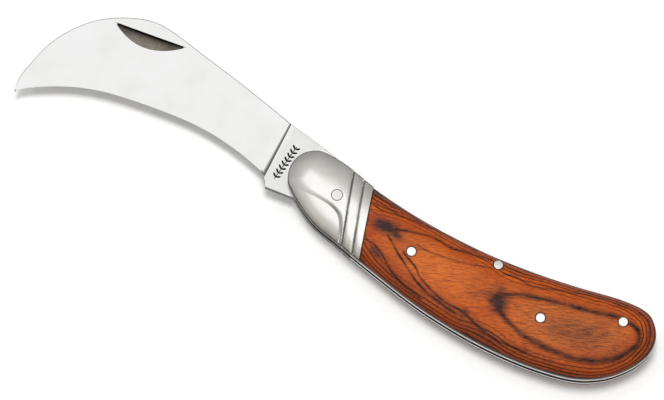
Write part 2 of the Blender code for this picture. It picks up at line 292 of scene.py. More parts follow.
woodPins = springPins + handle["scalePins"]
pinHole = handle["pinRadius"] + handle["pinClearance"]
pivotHole = handle["pivotRadius"] + handle["pinClearance"]
noseArc = arcPath(handle["noseCentre"], handle["noseRadius"], *handle["noseAngles"], handle["noseSteps"])
outline = smoothPath(noseArc + [Vector(p) for p in handle["belly"] + handle["butt"] + handle["back"]],
                     handle["finenessOfOutline"], closed=True)
rimLine = outline + outline[:1]


def domeHeights(rims, shape):
    # the height of the crowned face at distances from the rim
    share = numpy.clip(rims / shape["width"], 0, 1)
    rise = (1 - (1 - share) ** shape["fullness"]) ** (1 / shape["rimSteepness"])
    return shape["wall"] + (handle["top"] - shape["wall"]) * rise


def stepDrops(places, shape):
    # the crown ends in a small step toward the belly, and a flatter flank lies below it
    beyond = numpy.maximum(-pathDistances(places, smoothPath(shape["stepLine"], 8), signed=True), 0)
    start, slant = shape["grooves"][0]
    share = numpy.clip(beyond / numpy.interp(places[:, 0], *zip(*shape["stepWidth"])), 0, 1)
    drops = numpy.interp(places[:, 0], *zip(*shape["stepDepth"])) * share ** 2
    drops += numpy.interp(places[:, 0], *zip(*shape["flankFall"])) * beyond
    return numpy.where(places[:, 0] + slant * places[:, 1] < start, drops, 0)


def grooveDrops(places, shape):
    # how far the surface lies below the dome at the grooves and toward the rounded bands' sides
    drops = numpy.zeros(len(places))
    half = shape["grooveWidth"] / 2
    for start, slant in shape["grooves"]:
        off = abs(places[:, 0] + slant * places[:, 1] - start)
        deep = shape["grooveDepth"] * (1 - (off / half) ** 4 * shape["grooveHollow"])
        share = numpy.clip(1 - (off - half) / shape["bandRounding"], 0, 1)
        drops = numpy.maximum(drops, numpy.where(off < half, deep, shape["bandDrop"] * share ** 2))
    return drops


def faceHeights(places, shape):
    # the height of the finished outer face
    heights = domeHeights(pathDistances(places, rimLine) - shape["inset"], shape)
    if "grooves" in shape:
        heights = numpy.minimum(heights, handle["top"])
        heights = heights - stepDrops(places, shape) - grooveDrops(places, shape)
    return heights


def handleForm(shape, keep):
    # the front half of the handle on one side of the joint, ringed and crossed with edges, then crowned
    bm = bmesh.new()
    plateFrom(bm, outline, handle["linerOutside"] + handle["layerGap"], shape["wall"])
    if shape["inset"]:
        # both caps shrink, and new walls join them
        caps = [f for f in bm.faces if abs(f.normal.z) > levelFrom]
        for cap in caps:
            bmesh.ops.inset_region(bm, faces=[cap], thickness=shape["inset"], depth=0.0, use_even_offset=True)
        rimFaces = [f for f in bm.faces if len(f.verts) == 4]
        bmesh.ops.delete(bm, geom=rimFaces, context="FACES")
        loops = [e for e in bm.edges if e.is_boundary]
        bmesh.ops.bridge_loops(bm, edges=loops)
        bmesh.ops.delete(bm, geom=[v for v in bm.verts if not v.link_faces], context="VERTS")
        bmesh.ops.recalc_face_normals(bm, faces=bm.faces)
    cap = [f for f in bm.faces if f.normal.z > levelFrom]
    for width in shape["rings"]:
        bmesh.ops.inset_region(bm, faces=cap, thickness=width, depth=0.0, use_even_offset=True)
    joint = Vector((keep, keep * handle["jointSlant"], 0.0)).normalized()
    cutAway(bm, Vector((handle["jointAt"], 0, 0)) - joint * shape["jointGap"] / 2, joint)
    for i in range(1, int(shape["length"] / shape["step"])):
        splitAlong(bm, (handle["jointAt"] - keep * shape["step"] * i, 0, 0), (1, handle["jointSlant"], 0))
    low, high = shape["rows"]
    for i in range(int((high - low) / shape["step"])):
        splitAlong(bm, (0, low + shape["step"] * i, 0), (0, 1, 0))
    for start, slant in shape.get("grooves", []):
        half = shape["grooveWidth"] / 2
        offsets = [half + shape["bandRounding"] * k / shape["bandRows"] for k in range(shape["bandRows"] + 1)]
        for off in sorted({round(s * o, 3) for o in offsets + shape["grooveRows"] for s in (-1, 1)}):
            splitAlong(bm, (start + off, 0, 0), (1, slant, 0))
    faceVerts = [v for v in bm.verts if v.co.z > shape["wall"] - sameHeight]
    for vert, height in zip(faceVerts, faceHeights(placesOf(faceVerts), shape)):
        vert.co.z = height
    splitWideFaces(bm)
    bmesh.ops.recalc_face_normals(bm, faces=bm.faces)
    return bm


def sidedObject(form, side, name):
    # the form itself in front, and its mirror image at the rear
    bm = form.copy()
    if side < 0:
        bmesh.ops.scale(bm, vec=(1, 1, -1), verts=bm.verts)
        bmesh.ops.reverse_faces(bm, faces=bm.faces)
    return meshObject(bm, name)


print("handle form ready")


def mirrorSteel():
    # stainless blade steel, mirror polished: near white, a little grey haze from the last buffing wheel
    material, tree, shader = newMaterial("mirror_polished_stainless")
    place = handlePlace(tree, math.radians(20))
    haze = addNode(tree, "TexNoise", {"Vector": place, "Scale": 0.09, "Detail": 3.0, "Roughness": 0.6})
    tone = addNode(tree, "ValToRGB", {"Fac": haze.outputs["Fac"]}, [
        (0.3, "#E3E3E3"), (0.55, "#E0E0DF"), (0.75, "#DBDBDA")])
    tree.links.new(tone.outputs[0], shader.inputs["Base Color"])
    # buffing marks, 0.2 mm apart, run across the blade
    stretched = addNode(tree, "VectorMath", {0: place, 1: (5.0, 0.25, 1.0)}, operation="MULTIPLY")
    marks = addNode(tree, "TexNoise", {"Vector": stretched, "Scale": 1.0, "Detail": 4.0})
    gloss = addNode(tree, "MapRange", {"Value": marks.outputs["Fac"], "To Min": 0.1, "To Max": 0.2})
    tree.links.new(gloss.outputs[0], shader.inputs["Roughness"])
    bump = addNode(tree, "Bump", {"Height": marks.outputs["Fac"], "Strength": 0.02, "Distance": 0.0001})
    tree.links.new(bump.outputs[0], shader.inputs["Normal"])
    shader.inputs["Metallic"].default_value = 1.0
    return material


def brushedSteel(name, light, dark, gloss, spacing, turn, strength):
    # steel rubbed on a fine belt: soft highlights broken by short lines, so many mm apart
    material, tree, shader = newMaterial(name)
    place = handlePlace(tree, math.radians(turn))
    lines = addNode(tree, "VectorMath", {0: place, 1: (0.35 / spacing, 1 / spacing, 1 / spacing)},
                    operation="MULTIPLY")
    grit = addNode(tree, "TexNoise", {"Vector": lines, "Scale": 1.0, "Detail": 5.0, "Roughness": 0.65})
    cloud = addNode(tree, "TexNoise", {"Vector": place, "Scale": 0.16, "Detail": 3.0})
    both = addNode(tree, "Math", {0: grit.outputs["Fac"], 1: cloud.outputs["Fac"]}, operation="ADD")
    half = addNode(tree, "Math", {0: both, 1: 0.5}, operation="MULTIPLY")
    tone = addNode(tree, "ValToRGB", {"Fac": half}, [(0.35, dark), (0.65, light)])
    tree.links.new(tone.outputs[0], shader.inputs["Base Color"])
    rough = addNode(tree, "MapRange", {"Value": grit.outputs["Fac"], "To Min": gloss * 0.8,
                                       "To Max": gloss * 1.25})
    tree.links.new(rough.outputs[0], shader.inputs["Roughness"])
    bump = addNode(tree, "Bump", {"Height": grit.outputs["Fac"], "Strength": strength, "Distance": 0.0001})
    tree.links.new(bump.outputs[0], shader.inputs["Normal"])
    shader.inputs["Metallic"].default_value = 1.0
    return material


def laminatedWood(name):
    # dyed birch plies pressed in resin, sanded through and lacquered: orange, with dark glue lines
    material, tree, shader = newMaterial(name)
    place = handlePlace(tree, math.radians(-14))
    ply = addNode(tree, "Attribute", attribute_name="ply").outputs["Fac"]
    line = addNode(tree, "Attribute", attribute_name="glueLineAndShade").outputs["Fac"]
    smudge = addNode(tree, "Attribute", attribute_name="smudge").outputs["Fac"]
    drift = addNode(tree, "TexNoise", {"Vector": place, "Scale": 0.25, "Detail": 5.0, "Roughness": 0.6})
    shifted = addNode(tree, "Math", {0: drift.outputs["Fac"], 1: 0.10, 2: -0.05}, operation="MULTIPLY_ADD")
    level = addNode(tree, "Math", {0: ply, 1: shifted}, operation="ADD")
    # the ramp runs from the rim's outermost ply to the middle of a figure; its dark stops are glue lines
    body = addNode(tree, "ValToRGB", {"Fac": level}, [
        (0.00, "#1A0906"), (0.035, "#6E280D"), (0.065, "#1A0906"), (0.08, "#1A0906"), (0.10, "#96400F"),
        (0.15, "#A0450F"), (0.168, "#1A0906"), (0.184, "#1A0906"), (0.202, "#A84A10"), (0.248, "#AC4C10"),
        (0.262, "#1E0B06"), (0.274, "#1E0B06"), (0.290, "#B45210"), (0.355, "#B45210"), (0.372, "#2A0F08"),
        (0.383, "#2A0F08"), (0.400, "#B85411"), (0.47, "#BC5712"), (0.487, "#5A220B"),
        (0.505, "#BA5514"), (0.60, "#B75216"), (0.75, "#C25F1F"), (1.00, "#D06F2B")])
    # pores and flecks 0.2 mm wide and 2 mm long along the grain
    along = addNode(tree, "VectorMath", {0: place, 1: (0.5, 4.4, 4.4)}, operation="MULTIPLY")
    flecks = addNode(tree, "TexNoise", {"Vector": along, "Scale": 1.0, "Detail": 4.0, "Roughness": 0.7})
    fleckTone = addNode(tree, "ValToRGB", {"Fac": flecks.outputs["Fac"]}, [
        (0.31, "#4C403E"), (0.44, "#C2B8B3"), (0.57, "#FFFFFF")])
    grained = addNode(tree, "Mix", {0: 0.75, 6: body, 7: fleckTone},
                      data_type="RGBA", blend_type="MULTIPLY")
    # the dye took redder in clouds about 14 mm across
    redness = addNode(tree, "TexNoise", {"Vector": place, "Scale": 0.07, "Detail": 2.0})
    reddened = addNode(tree, "MapRange", {"Value": redness.outputs["Fac"], "From Min": 0.45,
                                          "From Max": 0.7, "To Min": 0.0, "To Max": 0.4})
    red = addNode(tree, "Mix", {0: reddened, 6: grained.outputs[2], 7: linear("#7E2C0E")}, data_type="RGBA")
    # stains and resin sink into the pores, so their edges are ragged; the dark lines also carry painted shade
    # at the joint, pins and rim
    ragged = addNode(tree, "MapRange", {"Value": flecks.outputs["Fac"], "From Min": 0.3,
                                        "From Max": 0.7, "To Min": 1.5, "To Max": 0.7})
    stain = addNode(tree, "Math", {0: smudge, 1: ragged}, operation="MULTIPLY", use_clamp=True)
    stained = addNode(tree, "Mix", {0: stain, 6: red.outputs[2], 7: linear("#2B1B1D")}, data_type="RGBA")
    # dark lines, together with painted shade at the joint, around the pins and at the rim
    ink = addNode(tree, "Math", {0: line, 1: ragged}, operation="MULTIPLY", use_clamp=True)
    lined = addNode(tree, "Mix", {0: ink, 6: stained.outputs[2], 7: linear("#1C0A07")}, data_type="RGBA")
    tree.links.new(lined.outputs[2], shader.inputs["Base Color"])
    rough = addNode(tree, "MapRange", {"Value": flecks.outputs["Fac"], "To Min": 0.5, "To Max": 0.36})
    tree.links.new(rough.outputs[0], shader.inputs["Roughness"])
    bump = addNode(tree, "Bump", {"Height": flecks.outputs["Fac"], "Strength": 0.12, "Distance": 0.0001})
    tree.links.new(bump.outputs[0], shader.inputs["Normal"])
    shader.inputs["IOR"].default_value = 1.5
    shader.inputs["Specular IOR Level"].default_value = 0.26
    return material


# the etched sprig in mm: its foot, direction, length, stem's half width, leaf rows and leaf half sizes
sprig = {
    "foot": (-18.2, -0.4, 0.0), "turn": 76.0, "length": 10.8, "stem": 0.13, "spacing": 1.35, "sweep": 0.6,
    "leafAt": 0.62, "leaf": (0.34, 0.56),
}


def ricassoSteel():
    # satin ground steel, a shade greyer than the polish, with a small sprig etched black on its front
    material = brushedSteel("satin_stainless_ricasso", "#E4E4E2", "#D6D6D3", 0.2, 0.14, 75, 0.12)
    tree = material.node_tree
    place = handlePlace(tree)
    away = addNode(tree, "VectorMath", {0: place, 1: sprig["foot"]}, operation="SUBTRACT")
    turn = math.radians(sprig["turn"])
    along = addNode(tree, "VectorMath", {0: away, 1: (math.cos(turn), math.sin(turn), 0)},
                    operation="DOT_PRODUCT").outputs["Value"]
    off = addNode(tree, "VectorMath", {0: away, 1: (-math.sin(turn), math.cos(turn), 0)},
                  operation="DOT_PRODUCT").outputs["Value"]
    across = addNode(tree, "Math", {0: off}, operation="ABSOLUTE")
    # the leaves slant forward from the stem, one pair in each row
    swept = addNode(tree, "Math", {0: across, 1: -sprig["sweep"], 2: along}, operation="MULTIPLY_ADD")
    phase = addNode(tree, "Math", {0: swept, 1: sprig["spacing"]}, operation="FLOORED_MODULO")
    row = addNode(tree, "Math", {0: phase, 1: sprig["spacing"] / 2}, operation="SUBTRACT")
    column = addNode(tree, "Math", {0: across, 1: sprig["leafAt"]}, operation="SUBTRACT")
    spot = addNode(tree, "CombineXYZ", {"X": row, "Y": column})
    shaped = addNode(tree, "VectorMath", {0: spot, 1: sprig["leaf"] + (1.0,)}, operation="DIVIDE")
    reach = addNode(tree, "VectorMath", {0: shaped}, operation="LENGTH").outputs["Value"]
    leaf = addNode(tree, "Math", {0: reach, 1: 1.0}, operation="LESS_THAN")
    stem = addNode(tree, "Math", {0: across, 1: sprig["stem"]}, operation="LESS_THAN")
    drawn = addNode(tree, "Math", {0: leaf, 1: stem}, operation="MAXIMUM")
    # nothing is drawn past the sprig's ends, nor on the blade's rear
    middle = addNode(tree, "Math", {0: swept, 1: sprig["length"] / 2}, operation="SUBTRACT")
    apart = addNode(tree, "Math", {0: middle}, operation="ABSOLUTE")
    within = addNode(tree, "Math", {0: apart, 1: sprig["length"] / 2}, operation="LESS_THAN")
    height = addNode(tree, "SeparateXYZ", {"Vector": place}).outputs["Z"]
    front = addNode(tree, "Math", {0: height, 1: 0.5}, operation="GREATER_THAN")
    shown = addNode(tree, "Math", {0: within, 1: front}, operation="MULTIPLY")
    etched = addNode(tree, "Math", {0: drawn, 1: shown}, operation="MULTIPLY")
    paintOver(material, etched, "#141414")
    return material


# the nick's wall stands along y = top; from and inward place the rays that find the blade's face; the last
# two numbers say how far below the wall a painted shade starts and where it is darkest
nick = {
    "top": 26.1, "x": -64.6, "length": 19.8, "width": 4.1, "depth": 0.7, "sides": 720,
    "from": 5, "inward": 0.05, "margin": 0.1, "frontFrom": 0.2, "shadeFrom": 3.4, "shadeTo": 0.25,
}


def nickSteelWithPaintedShade():
    # coarsely ground steel: warm grey, with painted shade that darkens it toward the wall
    material = brushedSteel("ground_stainless_in_the_nick", "#A0998F", "#6C655C", 0.42, 0.22, 0, 0.5)
    tree = material.node_tree
    across = addNode(tree, "SeparateXYZ", {"Vector": handlePlace(tree)}).outputs["Y"]
    start, end = (nick["top"] - nick[key] for key in ("shadeFrom", "shadeTo"))
    # painted shade under the nick's wall, darkest right beside it
    wallShade = addNode(tree, "MapRange", {"Value": across, "From Min": start, "From Max": end})
    darkened = addNode(tree, "Math", {0: wallShade, 1: 2.2}, operation="POWER")
    paintOver(material, darkened, "#14110F")
    return material


bladeSteel = mirrorSteel()
tangSteel = ricassoSteel()
nickSteel = nickSteelWithPaintedShade()
# ground on a fine stone: a pale, even line along the cutting edge
edgeSteel = brushedSteel("fine_ground_stainless_edges", "#B2B1AF", "#9A9997", 0.3, 0.15, 20, 0.2)
# sheared steel painted dark as shade: a dark outline round the bright faces
rimShadeSteel = brushedSteel("stainless_rims_painted_dark_as_shade", "#6E6C69", "#53514E", 0.45, 0.2, 16, 0.3)
# satin from a fine belt: near white, with one soft highlight along the crown
bolsterSteel = brushedSteel("satin_stainless_bolster", "#F6F4F1", "#E6E4E0", 0.17, 0.16, 0, 0.16)
# cut with a chisel and never polished: rough and speckled, its grey painted darker as the shade inside the
# grooves
grooveShadeSteel = brushedSteel("chased_groove_steel_with_painted_shade", "#B4B1AC", "#6E6A65", 0.5, 0.2, 90, 1.0)
# bright rolled sheet: a thin silver line between the wood and the slot
linerSteel = brushedSteel("stainless_liner_sheet", "#D8D7D4", "#BEBDBA", 0.3, 0.2, 16, 0.2)
# steel painted nearly black as shade, so that the slot looks deep
slotShadeSteel = brushedSteel("steel_painted_dark_as_slot_shade", "#4A4845", "#2E2C2A", 0.55, 0.3, 16, 0.3)
# hardened and ground: a little greyer than the liners beside it
springSteel = brushedSteel("tempered_spring_steel", "#B4B2AE", "#96948F", 0.35, 0.2, 16, 0.3)
# hammered, then sanded flush with the wood: small white discs
pinSteel = brushedSteel("peened_pin_steel", "#FFFFFF", "#FAFAF8", 0.3, 0.12, 0, 0.1)
# hammered and buffed with the bolster: its head nearly vanishes there
pivotSteel = brushedSteel("peened_pivot_steel", "#EFEEEB", "#D9D7D3", 0.24, 0.16, 40, 0.3)
wood = laminatedWood("laminated_birch_dyed_orange")
print("materials ready")

bolster = {
    "wall": 4.3, "width": 8.6, "fullness": 2.1, "rimSteepness": 1.06, "inset": 0.0,
    "rings": [0.22, 0.2, 0.3, 0.4, 0.5, 0.6, 0.8], "step": 0.25, "length": 26.0, "rows": (-16, 12),
    "jointGap": 0.1, "sharpAngle": 28,
    # the step from the crown to the flank: its line, then width, depth and the flank's fall along x
    "stepLine": [(-17, 1.9), (-13, 1.2), (-9.7, 0.35), (-6.9, -0.35), (-3.3, -1.15), (0.1, -2.15),
                 (3.2, -4.0), (5.2, -7.4), (6.1, -11.2), (6.6, -16)],
    "stepWidth": [(-13, 2.4), (-6, 1.6), (0, 1.4), (5, 1.6)],
    "stepDepth": [(-14, 0.0), (-10, 0.08), (-5, 0.3), (0, 0.52), (5, 0.62)],
    "flankFall": [(-14, 0.0), (-8, 0.02), (0, 0.05), (6, 0.04)],
    # where each groove starts and how it slants, its section, and the rounded bands on both sides
    "grooves": [(3.55, 0.194), (6.8, 0.192)], "grooveWidth": 0.52, "grooveDepth": 0.32, "grooveHollow": 0.4,
    "grooveRows": [0.0, 0.12, 0.21], "bandRounding": 0.9, "bandRows": 4, "bandDrop": 0.12,
    # what takes the groove's rough, shade-darkened steel, and what takes the painted dark shade of the
    # outline and sides
    "brightLip": 0.06, "outlineWidth": 0.17, "sideBelow": 0.25,
}


def bolsterPiece(form, side):
    name = "front_bolster" if side > 0 else "rear_bolster"
    piece = sidedObject(form, side, name + "_dome")
    cutWith(piece, [drill((0, 0), handle["pivotRadius"] + handle["pivotRing"], 64)])
    rough = bolster["grooveWidth"] / 2 - bolster["brightLip"]
    rims = pathDistances(numpy.array([f.center[:2] for f in piece.data.polygons]), rimLine)
    indices = []
    for face, rim in zip(piece.data.polygons, rims):
        place = face.center
        inGroove = min(abs(place.x + s * place.y - g) for g, s in bolster["grooves"]) < rough
        # the outline and the steep sides take painted dark shade
        outer = rim < bolster["outlineWidth"] or abs(face.normal.z) < bolster["sideBelow"]
        indices.append(1 if inGroove else 2 if outer else 0)
    finishPiece(piece, [bolsterSteel, grooveShadeSteel, rimShadeSteel], [name], "handle",
                bolster["sharpAngle"], indices)


form = handleForm(bolster, 1)
for side in (1, -1):
    bolsterPiece(form, side)
form.free()
print("bolsters ready")

scale = {
    "wall": 3.7, "width": 7.6, "fullness": 2.3, "rimSteepness": 1.35,
    "rings": [0.12, 0.2, 0.3, 0.4, 0.5, 0.6], "inset": 0.12, "step": 0.3, "length": 87.0, "rows": (-27, 9),
    "jointGap": 0.1, "sharpAngle": 35,
    # how far lines (sway) and plies (drift) stray in mm, and how often, per mm along and across
    "sway": 0.25, "rearSway": 2.2, "rearSeed": 3.7, "swayGrain": (0.25, 0.4),
    "drift": 1.5, "driftGrain": (0.06, 0.11), "patchGrain": 0.35, "patchSeed": 7, "patchRange": (0.95, 0.4),
    # half widths and strengths of painted shade in the joint's gap, in the gap around the pins and where the
    # rim rounds away
    "jointShade": (0.34, 1.0), "pinShade": (0.2, 0.9), "rimShade": (0.3, 0.55),
    # dark lines: points, half width and strength
    "lines": [
        ([(16.7, -4.3), (19.5, -3.2), (23.9, -2.3), (29.1, -2.1), (34.8, -3.0), (38.9, -2.5),
          (45.4, -2.0)], 0.36, 0.85),
        ([(9.4, 3.7), (15.2, 3.1), (20.4, 2.1), (25.6, 1.0), (33.6, 0.3), (40.7, -0.8)], 0.26, 0.9),
        ([(9.7, 1.6), (13.5, 1.2), (18.4, 0.9), (25.7, 0.7), (31.0, 0.6), (37.6, -0.4)], 0.26, 0.75),
        ([(25.1, -5.4), (29.2, -6.1), (35.9, -6.0), (41.0, -5.4), (46.3, -4.3)], 0.22, 0.7),
        ([(49.8, -4.8), (53.5, -4.4), (58.5, -5.3), (65.7, -3.7), (74.7, -1.9), (84.0, -1.9)], 0.25, 0.75),
        ([(16.8, -5.7), (19.2, -7.8), (23.7, -11.5), (27.3, -14.2), (30.4, -16.0), (34.3, -17.5),
          (41, -19.4)], 0.34, 0.9),
        ([(22.6, -8.6), (26.8, -11.4), (29.0, -13.5), (32.7, -15.6), (37.2, -17.4), (43.7, -18.7),
          (47.4, -20.4), (50.7, -21.7), (56.3, -22.7), (63.1, -23.1)], 0.3, 0.95),
        ([(11.0, -8.9), (14.0, -9.3), (17.1, -11.1), (19.5, -13.1), (21.9, -15.2), (25.4, -16.8),
          (31, -18.9)], 0.3, 0.85),
        ([(49.3, -13.0), (50.3, -11.3), (52.3, -10.2), (56.1, -8.8), (61.5, -7.8), (67.0, -7.2), (76.2, -6.2),
          (84.0, -5.3), (88.7, -6.5), (90.2, -8.6), (89.9, -11.4), (87.4, -15.0), (83.0, -18.1),
          (77.8, -19.8), (70.7, -20.3), (64.8, -19.8), (59.7, -18.8), (55.5, -16.7),
          (51.8, -14.6)], 0.85, 0.85),
        ([(52.4, -10.0), (57.1, -8.4), (63.5, -7.3), (71.5, -6.6), (79.0, -5.7)], 0.22, 0.5),
        ([(90.4, -14.1), (92.0, -10.6), (92.2, -6.4), (90.6, -3.4), (86.6, -1.7), (80, -1.1),
          (70, -1.9)], 0.22, 0.6),
    ],
    # darker stains: centre, half lengths along and across, turn in degrees, strength
    "smudges": [
        ((10.2, 4.9), 2.4, 0.9, -14, 0.95), ((46, -20.6), 20, 1.7, -13, 0.42),
        ((27, -17.6), 12, 1.5, -22, 0.42), ((49.2, -11.2), 4.2, 1.6, 20, 0.55),
        ((66, -19.2), 9, 1.2, -6, 0.4), ((84.5, -9), 4, 2, -30, 0.35), ((73.5, -13.2), 16, 5.8, 3, 0.55),
        ((20, -14.6), 11, 1.6, -36, 0.3), ((60, -23), 26, 1.6, -2, 0.4), ((15.4, -3.5), 4, 1.9, -3, 1.15),
        ((18.6, -4.6), 2.6, 1.4, -30, 0.95), ((51.4, -12.4), 2.7, 3.7, 10, 1),
        ((53.6, -15.6), 3.2, 1.2, -35, 0.45), ((76.6, -11.8), 5.8, 2.1, 8, 0.62),
        ((15.4, -11.3), 3, 1.2, -28, 0.7), ((43.9, -18.3), 1.6, 1, 0, 0.65),
        ((60.5, -18.4), 5, 1, -12, 0.35), ((49.6, -10.4), 3.5, 1.2, 20, 0.3),
    ],
    # the two raised figures' middle lines, how far the plies spread around them, and how softly they meet
    "leftFigure": [(24.5, -7.5), (40, -11.0)], "rightFigure": [(62, -13.5), (80, -12.2)], "spread": 13.0,
    "meeting": 2.5,
    # plies also follow the rim: over this width, with this share and power
    "rimWidth": 7.0, "rimShare": 0.55, "rimPower": 0.8,
}


def paintWood(piece, seed):
    # where each point lies in the stack of plies, and how much of a dark line, stain or painted shade it
    # carries
    places = placesOf(piece.data.vertices)
    fields = []
    for along, across in (scale["swayGrain"], scale["driftGrain"]):
        spots = [Vector((x * along, y * across, seed)) for x, y in places]
        fields.append(numpy.array([noise.noise_vector(spot)[:2] for spot in spots]))
    sway, drift = fields
    spots = [Vector((*place, scale["patchSeed"])) for place in places * scale["patchGrain"]]
    patchy = numpy.array([noise.noise(spot) for spot in spots])
    moved = places + drift * scale["drift"]
    meeting = scale["meeting"]
    reach = [pathDistances(moved, scale[key]) for key in ("leftFigure", "rightFigure")]
    near = numpy.exp(-reach[0] / meeting) + numpy.exp(-reach[1] / meeting)
    figures = numpy.clip(1 + numpy.log(near) * meeting / scale["spread"], 0, 1)
    rims = pathDistances(places, rimLine)
    rim = numpy.clip(rims / scale["rimWidth"], 0, 1)
    ply = figures * (1 - scale["rimShare"]) + scale["rimShare"] * rim ** scale["rimPower"]
    moved = places + sway * (scale["sway"] if seed == 0 else scale["rearSway"])
    ink = numpy.zeros(len(places))
    even, patched = scale["patchRange"]
    for points, width, strength in scale["lines"]:
        off = pathDistances(moved, smoothPath(points, 5))
        ink = numpy.maximum(ink, strength * (even + patched * patchy) * numpy.exp(-(off / width) ** 2))
    # painted shade along the joint, around the pins and at the rim, laid in with the dark lines
    slant = handle["jointSlant"]
    seams = [((places[:, 0] + slant * places[:, 1] - handle["jointAt"]) / math.hypot(1, slant), "jointShade"),
             (rims - scale["inset"], "rimShade")]
    for centre in woodPins:
        seams.append((numpy.linalg.norm(places - numpy.array(centre), axis=1) - pinHole, "pinShade"))
    for off, key in seams:
        width, strength = scale[key]
        ink = numpy.maximum(ink, strength * numpy.exp(-(off / width) ** 2))
    stain = numpy.zeros(len(places))
    for centre, length, width, turn, strength in scale["smudges"]:
        cosine, sine = math.cos(math.radians(turn)), math.sin(math.radians(turn))
        off = moved - numpy.array(centre)
        along, across = off @ (cosine, sine), off @ (-sine, cosine)
        stain = numpy.maximum(stain, strength * numpy.exp(-(along / length) ** 2 - (across / width) ** 2))
    for name, numbers in (("ply", ply), ("glueLineAndShade", ink), ("smudge", stain)):
        attribute = piece.data.attributes.new(name, "FLOAT", "POINT")
        attribute.data.foreach_set("value", numbers.astype(numpy.float32))


def scalePiece(form, side):
    label = "front_scale" if side > 0 else "rear_scale"
    piece = sidedObject(form, side, label + "_wood")
    cutWith(piece, [drill(centre, pinHole) for centre in woodPins])
    paintWood(piece, 0 if side > 0 else scale["rearSeed"])
    finishPiece(piece, [wood], [label], "handle", scale["sharpAngle"])


form = handleForm(scale, -1)
for side in (1, -1):
    scalePiece(form, side)
form.free()
print("scales ready")

liner = {"rimRounding": 0.08}
for side, label in ((1, "front_liner"), (-1, "rear_liner")):
    bm = bmesh.new()
    low, high = sorted((handle["linerInside"] * side, handle["linerOutside"] * side))
    plateFrom(bm, outline, low, high)
    roundEdges(bm, [e for e in bm.edges if heightBetween(e) < sameHeight], liner["rimRounding"])
    splitWideFaces(bm)
    piece = meshObject(bm, label + "_plate")
    cutWith(piece, [drill(centre, pinHole) for centre in woodPins] + [drill((0, 0), pivotHole)])
    indices = []
    for face in piece.data.polygons:
        # inner faces take the slot's painted shade; side faces under the bolster take the rims' painted dark
        # shade
        inner = abs(face.center.z) < handle["linerInside"] + hair
        underBolster = abs(face.normal.z) < levelFrom and face.center.x < handle["jointAt"]
        indices.append(1 if inner else 2 if underBolster else 0)
    finishPiece(piece, [linerSteel, slotShadeSteel, rimShadeSteel], [label], "handle", indices=indices)
print("liners ready")

# heads start at headAt, ringed from the rim inward; riseAt counts from the rim, rise from the handle's face
pin = {
    "headAt": 5.0, "rings": (0.07, 0.15, 0.3, 0.4), "followsCrown": 0.35,
    "riseAt": (0, 0.07, 0.5), "rise": (-0.05, 0.0, 0.012), "middleRise": 0.015,
}
pins = {
    "pivot_pin": ((0, 0), True, True), "spring_middle_pin": (handle["springMiddlePin"], True, True),
    "spring_end_pin": (handle["springEndPin"], True, True),
}
for number, centre in enumerate(handle["scalePins"], start=1):
    pins[f"front_scale_pin_{number}"] = (centre, True, False)
    pins[f"rear_scale_pin_{number}"] = (centre, False, True)
for name, (centre, front, rear) in pins.items():
    isPivot = name == "pivot_pin"
    shape, radius = (bolster, handle["pivotRadius"]) if isPivot else (scale, handle["pinRadius"])
    top = pin["headAt"] if front else -handle["linerInside"]
    foot = -pin["headAt"] if rear else handle["linerInside"]
    bm = rodMesh(centre, radius, foot, top)
    for sign, shown in ((1, front), (-1, rear)):
        if not shown:
            continue
        cap = [f for f in bm.faces if f.normal.z * sign > levelFrom]
        for inward in pin["rings"]:
            bmesh.ops.inset_region(bm, faces=cap, thickness=inward, depth=0.0, use_even_offset=True)
        bmesh.ops.poke(bm, faces=cap)
        head = [v for v in bm.verts if v.co.z * sign > pin["headAt"] - hair]
        heights = faceHeights(placesOf(head), shape)
        heights = numpy.mean(heights) + (heights - numpy.mean(heights)) * pin["followsCrown"]
        for vert, height in zip(head, heights):
            inRim = radius - (vert.co.xy - Vector(centre)).length
            rise = numpy.interp(inRim, pin["riseAt"] + (radius,), pin["rise"] + (pin["middleRise"],))
            vert.co.z = sign * min(height + rise, handle["most"])
    piece = meshObject(bm, name + "_peened")
    finishPiece(piece, [pivotSteel if isPivot else pinSteel], [name], "handle")
print("pins ready")

tang = {
    "thickness": 2.4, "flatTurn": -19.3, "flatHeight": 4.3, "camRadius": 5.2, "camSteps": 24,
    "shoulder": -5.5, "foldAngle": 171.0, "footEnd": 2.0, "rimRounding": 0.1,
}
flatTurn = math.radians(tang["flatTurn"])
flatAlong = Vector((math.cos(flatTurn), math.sin(flatTurn)))
flatAcross = Vector((-flatAlong.y, flatAlong.x))


def onFlat(along, height):
    # a place measured along and above the tang's flat, on which the open blade's spring rests
    return flatAlong * along + flatAcross * height


# the foot and neck are measured on the flat; the corners lie outside the handle, whose outline trims them
spring = {
    "gap": 0.2, "footStep": (4.6, 5.5), "neck": [(9.0, 6.1), (15.0, 6.6)],
    "inner": [(22.5, 0.15), (31, -1.8), (40, -3.9), (47.7, -5.0), (56, -4.8), (64, -4.2), (71, -4.5),
              (77, -6.9), (82, -10.1), (88, -11.0), (98, -10.9)],
    "buttCorner": (98, 8), "frontCorner": 9, "regionHalf": 4, "bendHeight": 6,
}
footFront = tang["shoulder"] + spring["gap"]
footHeight = tang["flatHeight"] + spring["gap"]
innerLine = smoothPath([onFlat(*p) for p in spring["neck"]] + [Vector(p) for p in spring["inner"]], 8)
region = [onFlat(footFront, footHeight), onFlat(tang["footEnd"], footHeight), onFlat(*spring["footStep"])]
region += innerLine + [Vector(spring["buttCorner"]), onFlat(footFront, spring["frontCorner"])]
bm = bmesh.new()
plateFrom(bm, outline, -tang["thickness"] / 2, tang["thickness"] / 2)
splitWideFaces(bm)
piece = meshObject(bm, "back_spring_bar")
bm = bmesh.new()
plateFrom(bm, region, -spring["regionHalf"], spring["regionHalf"])
splitWideFaces(bm)
cutWith(piece, [meshObject(bm, "region")], "INTERSECT")
cutWith(piece, [drill(centre, pinHole) for centre in springPins])
finishPiece(piece, [springSteel], ["back_spring"])
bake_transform(piece)
print("spring ready")

